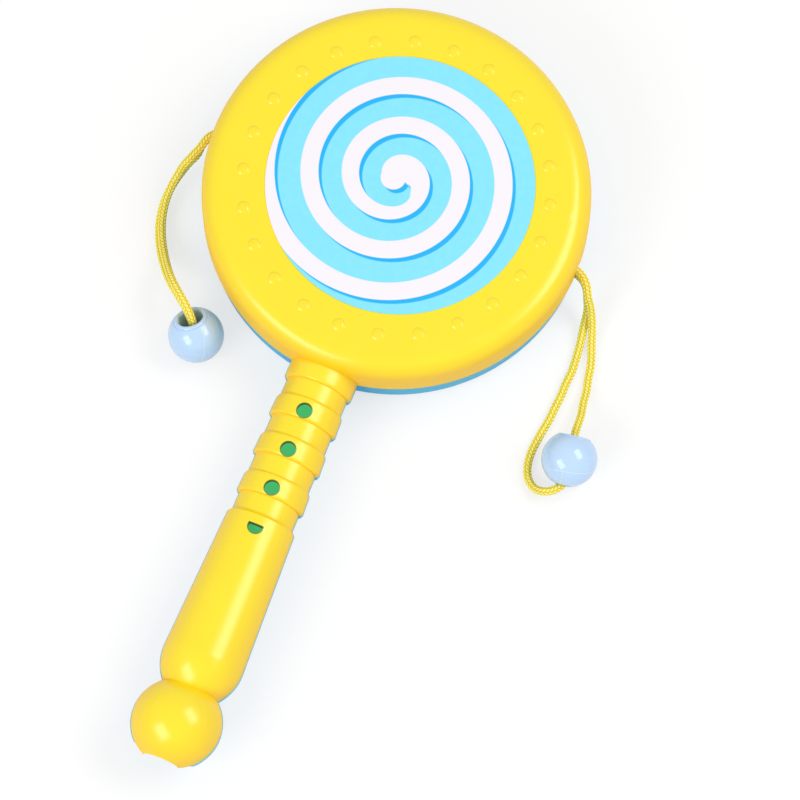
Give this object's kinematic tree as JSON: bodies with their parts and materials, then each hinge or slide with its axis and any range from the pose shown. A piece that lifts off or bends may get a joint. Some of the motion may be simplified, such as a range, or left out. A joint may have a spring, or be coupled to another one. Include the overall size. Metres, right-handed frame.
{
  "type": "whistle rattle",
  "caption": "Flat round toy rattle drum on a ribbed whistle handle with finger holes and a ball mouthpiece; beads on doubled cords swing from the rim and strike the faces.",
  "frame": {"origin": "centre of the drum's back face, on the surface that the toy lies on", "axes": "+Z out of the labelled face, -Y along the handle towards the mouth, +X to the right seen from the face"},
  "size_m": [0.0984, 0.1561, 0.0198],
  "materials": {
    "yellow_plastic": "glossy moulded",
    "blue_plastic": "glossy moulded",
    "printed_label": "printed film",
    "yellow_cord": "braided",
    "bead_plastic": "glossy moulded"
  },
  "bodies": {
    "drum": {"front_shell": "yellow_plastic", "back_shell": "blue_plastic", "face_label": "printed_label", "whistle_block": "yellow_plastic"},
    "left_knot": {"left_rim_knot": "yellow_cord"},
    "left_cord": {"left_cord_upper": "yellow_cord", "left_cord_lower": "yellow_cord", "left_end_knot": "yellow_cord"},
    "left_bead": {"left_bead": "bead_plastic"},
    "right_knot": {"right_rim_knot": "yellow_cord"},
    "right_cord": {"right_cord": "yellow_cord"},
    "right_bead": {"right_bead": "bead_plastic"}
  },
  "joints": [
    {"name": "left_turn", "type": "hinge", "parent": "drum", "child": "left_knot", "pos_m": [-0.0375, 0, 0.0095], "axis": [-1, 0, 0], "continuous": true},
    {"name": "left_swing", "type": "hinge", "parent": "left_knot", "child": "left_cord", "pos_m": [-0.0386, 0, 0.0095], "axis": [0, 0, -1], "range_deg": [-5, 140]},
    {"name": "left_bead_spin", "type": "hinge", "parent": "left_cord", "child": "left_bead", "pos_m": [-0.0263, -0.0381, 0.0054], "axis": [-0.4255, 0.4255, 0.7986], "continuous": true},
    {"name": "right_turn", "type": "hinge", "parent": "drum", "child": "right_knot", "pos_m": [0.0375, 0, 0.0095], "axis": [1, 0, 0], "continuous": true},
    {"name": "right_swing", "type": "hinge", "parent": "right_knot", "child": "right_cord", "pos_m": [0.0386, 0, 0.0095], "axis": [0, 0, 1], "range_deg": [-10, 120]},
    {"name": "right_bead_spin", "type": "hinge", "parent": "right_cord", "child": "right_bead", "pos_m": [0.0495, -0.0342, 0.0054], "axis": [-0.1361, 0.9686, 0.2079], "continuous": true}
  ]
}
